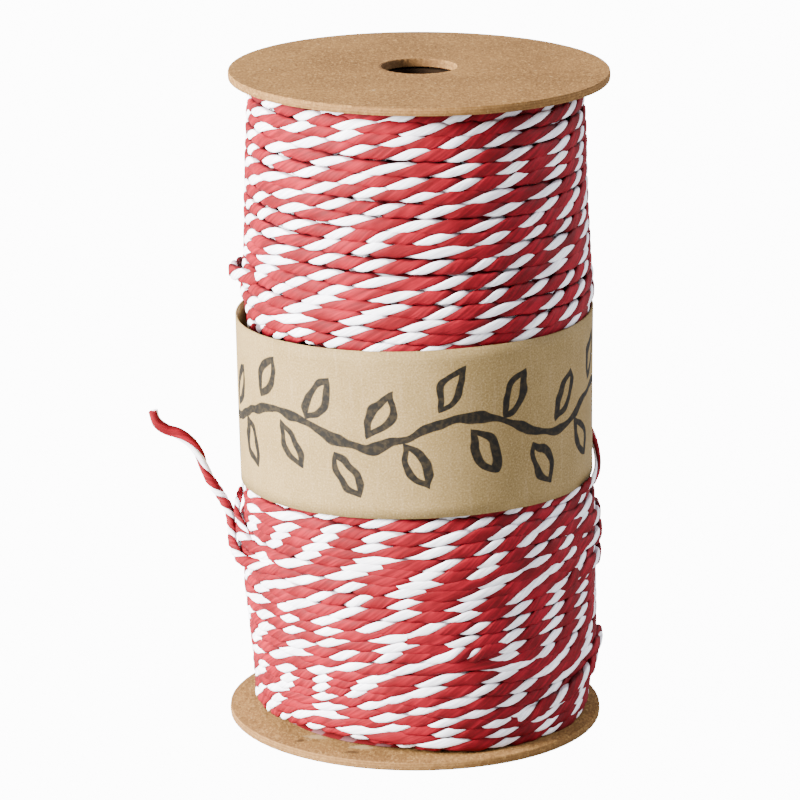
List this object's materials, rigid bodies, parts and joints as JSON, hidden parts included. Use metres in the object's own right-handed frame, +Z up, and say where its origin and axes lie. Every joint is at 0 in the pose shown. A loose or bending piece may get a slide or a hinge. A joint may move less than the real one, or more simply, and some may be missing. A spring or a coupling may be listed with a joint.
{
  "type": "spool of string",
  "caption": "Spool of red and white twisted paper string on a card tube with round card flanges, a kraft paper label band and a loose string end.",
  "frame": {"origin": "centre of the underside of the lower flange, on the surface that the spool stands on", "axes": "+Z up along the spool's axis, -Y towards the front of the label band, +X to the right seen from the front; the loose end springs out at -X"},
  "size_m": [0.0673, 0.055, 0.097],
  "materials": {
    "card": "uncoated brown board with fine fibres",
    "core_card": "uncoated brown board",
    "kraft_paper": "uncoated kraft paper",
    "string": "two twisted plies of matt paper, one red and one white"
  },
  "bodies": {
    "root": {"flange_bottom": "card", "flange_top": "card", "core_tube": "core_card", "winding": "string", "label_band": "kraft_paper", "loose_end": "string", "loose_turn": "string"}
  },
  "joints": []
}
